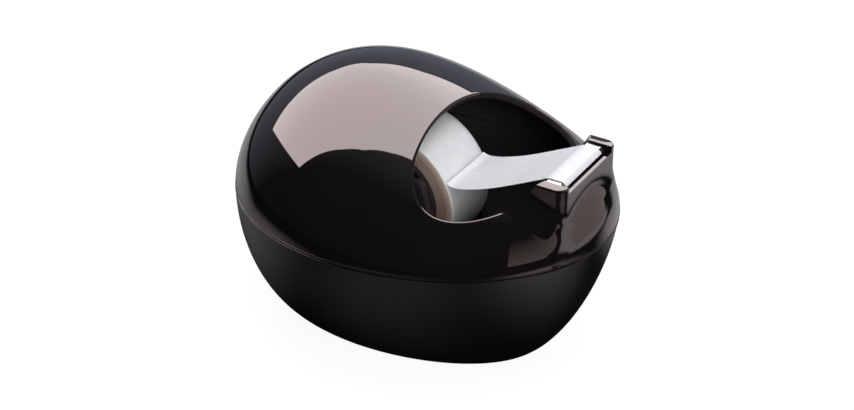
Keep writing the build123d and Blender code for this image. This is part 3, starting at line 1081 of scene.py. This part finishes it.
# ---------------------------------------------------------------- camera, lights and backdrop
@dataclass(frozen=True)
class Shot:
    """The photograph's view, as fitted to the housing's outline.

    Args:
        azimuth: of the camera in degrees, from the part's right side towards its front.
        elevation: of the camera in degrees, above the table.
        distance: from the point that it looks at.
        look_at: that point, in millimetres.
        lens, sensor: focal length and the sensor's width in millimetres.
        clip: nearest and furthest that it sees, in metres.
    """
    azimuth: float = 31.152
    elevation: float = 31.787
    distance: float = 500.0
    look_at: Vec = (-0.361, 0.0, 35.193)
    lens: float = 79.607
    sensor: float = 36.0
    clip: tuple[float, float] = (0.01, 20.0)


def make_camera(shot: Shot) -> None:
    """Sets up the scene's camera.

    Args:
        shot: where it stands and how it sees.
    """
    a, e = math.radians(shot.azimuth), math.radians(shot.elevation)
    back = Vector((math.sin(a) * math.cos(e), -math.cos(a) * math.cos(e), math.sin(e)))
    data = bpy.data.cameras.new("camera")
    data.lens, data.sensor_width = shot.lens, shot.sensor
    data.clip_start, data.clip_end = shot.clip
    camera = bpy.data.objects.new("camera", data)
    camera.location = (Vector(shot.look_at) + back * shot.distance) * MM
    camera.rotation_mode = "QUATERNION"
    camera.rotation_quaternion = back.to_track_quat("Z", "Y")
    bpy.context.scene.collection.objects.link(camera)
    bpy.context.scene.camera = camera


@dataclass(frozen=True)
class Card:
    """A glowing studio card, cut to an outline in its own plane, which shows in the gloss.

    Args:
        name: of the card.
        facing: direction from the part to the card.
        distance: from the part to the card, in millimetres.
        outline: corners in the card's plane, to the card's right and up, in millimetres.
        upper, lower: colour at the card's upper and lower edge.
        strength: its glow.
    """
    name: str
    facing: Vec
    distance: float
    outline: tuple[tuple[float, float], ...]
    upper: Colour
    lower: Colour
    strength: float


SOFTBOX = Card("softbox", (-0.5493, 0.3495, 0.7590), 600.0,
               ((346, -378), (642, 143), (482, 238), (323, 330), (202, 401), (64, 461), (-82, 479),
                (-220, 475), (-420, 440), (-620, 330), (-760, 60), (-760, -225), (-600, -195),
                (-494, -168), (-382, -169), (-246, -157), (-77, -188), (79, -272), (220, -336)),
               upper=(0.96, 1.0, 1.02), lower=(1.0, 0.99, 0.97), strength=3.7)
SIDE_CARD = Card("side_card", (0.845, -0.412, 0.342), 600.0,
                 ((-105, -190), (160, -240), (130, 0), (30, 265), (-55, 285), (-85, 100)),
                 upper=(0.12, 0.11, 0.11), lower=(1.0, 0.96, 0.94), strength=0.46)
RIGHT_CARD = Card("right_card", (0.80, 0.60, 0.0), 380.0,
                  ((-190, -39), (200, -39), (200, 110), (60, 130), (-190, 90)),
                  upper=(1.0, 0.95, 0.92), lower=(1.0, 0.95, 0.92), strength=0.62)


@dataclass(frozen=True)
class Lamp:
    """A soft square lamp that lights the part and doesn't show in its gloss.

    Args:
        name: of the lamp.
        facing: direction from the part to the lamp.
        distance: from the part to the lamp, in millimetres.
        size: its side in millimetres.
        watts: its power.
    """
    name: str
    facing: Vec
    distance: float
    size: float
    watts: float


KEY_LAMP = Lamp("key_lamp", (-0.45, 0.25, 0.86), 600.0, 600.0, 2.2)
TOP_LAMP = Lamp("top_lamp", (0.36, -0.20, 0.91), 600.0, 360.0, 1.8)
FILL_LAMP = Lamp("fill_lamp", (0.66, -0.62, 0.42), 600.0, 300.0, 1.9)
AIM = (0, 0, 0.04)           # point in metres that cards and lamps are turned to


def frame_facing(away: Vector) -> Matrix:
    """Rotation whose Z points away from the part and whose Y points as far up as it can."""
    across = Vector((0, 0, 1)).cross(away).normalized()
    return Matrix((across, away.cross(across), away)).transposed()


def place_facing(piece: bpy.types.Object, facing: Vec, distance: float) -> None:
    """Puts a card or lamp in the scene, turned to the part.

    Args:
        piece: the card or lamp.
        facing: direction from the part to it.
        distance: from the part to it, in millimetres.
    """
    away = Vector(facing).normalized()
    place = Matrix.Translation(Vector(AIM) + away * distance * MM)
    piece.matrix_world = place @ frame_facing(away).to_4x4()
    bpy.context.scene.collection.objects.link(piece)


def make_card(card: Card) -> None:
    """Sets up one card, which shows in gloss only and not to the camera.

    Args:
        card: its place, outline and glow.
    """
    mesh = bpy.data.meshes.new(card.name)
    mesh.from_pydata([(u * MM, v * MM, 0) for u, v in card.outline], [], [tuple(range(len(card.outline)))])
    piece = bpy.data.objects.new(card.name, mesh)
    place_facing(piece, card.facing, card.distance)
    material = bpy.data.materials.new(card.name)
    material.use_nodes = True
    nodes, links = material.node_tree.nodes, material.node_tree.links
    nodes.clear()
    place, split = nodes.new("ShaderNodeTexCoord"), nodes.new("ShaderNodeSeparateXYZ")
    reach, mix = nodes.new("ShaderNodeMapRange"), nodes.new("ShaderNodeMix")
    glow, out = nodes.new("ShaderNodeEmission"), nodes.new("ShaderNodeOutputMaterial")
    heights = [v for _, v in card.outline]
    reach.inputs["From Min"].default_value = min(heights) * MM
    reach.inputs["From Max"].default_value = max(heights) * MM
    mix.data_type = "RGBA"
    mix.inputs["A"].default_value, mix.inputs["B"].default_value = (*card.lower, 1), (*card.upper, 1)
    glow.inputs["Strength"].default_value = card.strength
    links.new(place.outputs["Object"], split.inputs[0])
    links.new(split.outputs["Y"], reach.inputs["Value"])
    links.new(reach.outputs["Result"], mix.inputs["Factor"])
    links.new(mix.outputs["Result"], glow.inputs["Color"])
    links.new(glow.outputs[0], out.inputs["Surface"])
    mesh.materials.append(material)
    piece.visible_camera = piece.visible_diffuse = piece.visible_shadow = False


def make_lamp(lamp: Lamp) -> None:
    """Sets up one lamp.

    Args:
        lamp: its place, size and power.
    """
    data = bpy.data.lights.new(lamp.name, "AREA")
    data.size, data.energy = lamp.size * MM, lamp.watts
    piece = bpy.data.objects.new(lamp.name, data)
    place_facing(piece, lamp.facing, lamp.distance)
    piece.visible_glossy = False


STUDIO_BACK = (-0.47, 0.78, 0.41)            # direction in which the studio is palest
STUDIO_RANGE = (0.25, 0.95)                  # how directly a ray points there, from dark to pale
STUDIO_DARK, STUDIO_PALE = (0.020, 0.018, 0.018, 1), (0.26, 0.29, 0.36, 1)


def make_world() -> None:
    """White for the camera; otherwise a dark studio that grows paler behind the part."""
    world = bpy.data.worlds.new("studio")
    world.use_nodes = True
    nodes, links = world.node_tree.nodes, world.node_tree.links
    place, toward = nodes.new("ShaderNodeTexCoord"), nodes.new("ShaderNodeVectorMath")
    toward.operation = "DOT_PRODUCT"
    toward.inputs[1].default_value = STUDIO_BACK
    reach, mix = nodes.new("ShaderNodeMapRange"), nodes.new("ShaderNodeMix")
    reach.inputs["From Min"].default_value, reach.inputs["From Max"].default_value = STUDIO_RANGE
    mix.data_type = "RGBA"
    mix.inputs["A"].default_value, mix.inputs["B"].default_value = STUDIO_DARK, STUDIO_PALE
    path, final = nodes.new("ShaderNodeLightPath"), nodes.new("ShaderNodeMix")
    final.data_type = "RGBA"
    final.inputs["B"].default_value = (1, 1, 1, 1)
    links.new(place.outputs["Generated"], toward.inputs[0])
    links.new(toward.outputs["Value"], reach.inputs["Value"])
    links.new(reach.outputs["Result"], mix.inputs["Factor"])
    links.new(mix.outputs["Result"], final.inputs["A"])
    links.new(path.outputs["Is Camera Ray"], final.inputs["Factor"])
    links.new(final.outputs["Result"], nodes["Background"].inputs["Color"])
    bpy.context.scene.world = world


@dataclass(frozen=True)
class PaintedLightPool:
    """A pool of painted light on the floor's colour, in millimetres, which the camera doesn't see but the
    gloss shows.

    Args:
        x, y: its middle.
        inner, outer: radii between which it fades away.
        level: brightness of its middle.
    """
    x: float
    y: float
    inner: float
    outer: float
    level: float


# pools of painted light on the floor's colour, which the part's gloss reflects
PAINTED_LIGHT_POOLS = (PaintedLightPool(15, -85, 10, 70, 0.19), PaintedLightPool(-105, -55, 10, 85, 0.30), PaintedLightPool(105, -30, 5, 70, 0.60),
         PaintedLightPool(330, 150, 160, 200, 0.75), PaintedLightPool(-190, 60, 60, 130, 0.55), PaintedLightPool(-60, 290, 110, 200, 0.60),
         PaintedLightPool(75, 110, 30, 75, 0.60))
FLOOR_HALF = 420.0           # half side in millimetres
FLOOR_GLOW, FLOOR_SHADE = 0.93, 0.12         # emission and colour that the camera sees
FLOOR_PAINTED_SHADE = 0.012           # painted shade: dark colour that other rays see outside the painted light pools


def make_floor() -> None:
    """Makes the floor: for the camera nearly white with a faint shadow, for other rays painted dark as
    shade, with pools of painted light that show in the gloss.
    """
    half = FLOOR_HALF
    floor = new_object("floor", [(-half, -half, 0), (half, -half, 0), (half, half, 0), (-half, half, 0)],
                       [(0, 1, 2, 3)])
    material = bpy.data.materials.new("floor")
    material.use_nodes = True
    nodes, links = material.node_tree.nodes, material.node_tree.links
    shader, path = nodes["Principled BSDF"], nodes.new("ShaderNodeLightPath")
    glow = nodes.new("ShaderNodeMath")
    glow.operation = "MULTIPLY"
    glow.inputs[1].default_value = FLOOR_GLOW
    place, shade = nodes.new("ShaderNodeTexCoord"), nodes.new("ShaderNodeMix")
    level = None
    # painted light and shade: for other rays the floor's colour is the pools summed on a painted dark ground
    for light_pool in PAINTED_LIGHT_POOLS:
        offset, reach = nodes.new("ShaderNodeVectorMath"), nodes.new("ShaderNodeMapRange")
        offset.operation, reach.interpolation_type = "DISTANCE", "SMOOTHSTEP"
        offset.inputs[1].default_value = (light_pool.x * MM, light_pool.y * MM, 0)
        reach.inputs["From Min"].default_value = light_pool.inner * MM
        reach.inputs["From Max"].default_value = light_pool.outer * MM
        reach.inputs["To Min"].default_value, reach.inputs["To Max"].default_value = light_pool.level, 0.0
        links.new(place.outputs["Object"], offset.inputs[0])
        links.new(offset.outputs["Value"], reach.inputs["Value"])
        total = nodes.new("ShaderNodeMath")
        links.new(reach.outputs["Result"], total.inputs[0])
        total.inputs[1].default_value = FLOOR_PAINTED_SHADE
        if level:
            links.new(level, total.inputs[1])
        level = total.outputs[0]
    shade.data_type = "RGBA"
    shade.inputs["B"].default_value = (FLOOR_SHADE, FLOOR_SHADE, FLOOR_SHADE, 1)
    links.new(level, shade.inputs["A"])
    links.new(path.outputs["Is Camera Ray"], shade.inputs["Factor"])
    links.new(shade.outputs["Result"], shader.inputs["Base Color"])
    shader.inputs["Roughness"].default_value = 0.9
    shader.inputs["Specular IOR Level"].default_value = 0.0
    shader.inputs["Emission Color"].default_value = (1, 1, 1, 1)
    links.new(path.outputs["Is Camera Ray"], glow.inputs[0])
    links.new(glow.outputs[0], shader.inputs["Emission Strength"])
    floor.data.materials.append(material)


FRAME_FINISHES = (("lower_shell", SATIN_SHELL), ("foot_pad", FOAM), ("ballast_weight", IRON),
                  ("roll_cradle", HUB), ("cradle_screws", SCREW), ("shell_screws", SCREW),
                  ("roll_hub", HUB), ("tape_core", CORE), ("cutter_blade", STEEL))


def build_pieces() -> None:
    """Builds and dresses, in order, the pieces that stand in for CAD nodes or trim them."""
    parts = [
        (SeamBead("upper_seam_bead", PARTING), Body.HOUSING, "upper_shell", GLOSS_SHELL),
        (SeamBead("lower_seam_bead", PARTING - REVEAL), Body.HOUSING, None, GLOSS_SHELL),
        (UpperShell(), Body.HOUSING, "upper_shell", GLOSS_SHELL),
        (CutterTower(), Body.HOUSING, "upper_shell", GLOSS_SHELL),
        (WoundTape(), Body.SPOOL, "tape_roll", WOUND),
        (FreeTape(), Body.TAPE_LEAD, "tape_tail", FILM),
    ]
    built = [(part, part.build(), body.value, node, finish) for part, body, node, finish in parts]
    for part, piece, body, node, finish in built:
        part.dress(piece)
        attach(piece, body)
        if node:
            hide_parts(node)
        log.info("%s: %d faces", piece.name, len(piece.data.polygons))


def main() -> None:
    """Loads the frame, sets up the studio, builds the pieces in order and gives the frame's nodes their
    finishes.
    """
    logging.basicConfig(level=logging.INFO)
    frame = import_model()
    make_camera(Shot())
    bpy.context.scene.view_settings.view_transform = "Standard"
    make_world()
    make_floor()
    for card in (SOFTBOX, SIDE_CARD, RIGHT_CARD):
        make_card(card)
    for lamp in (KEY_LAMP, TOP_LAMP, FILL_LAMP):
        make_lamp(lamp)
    build_pieces()
    for name, finish in FRAME_FINISHES:
        paint(frame["nodes"][name], finish)


if __name__ == "__main__":
    main()
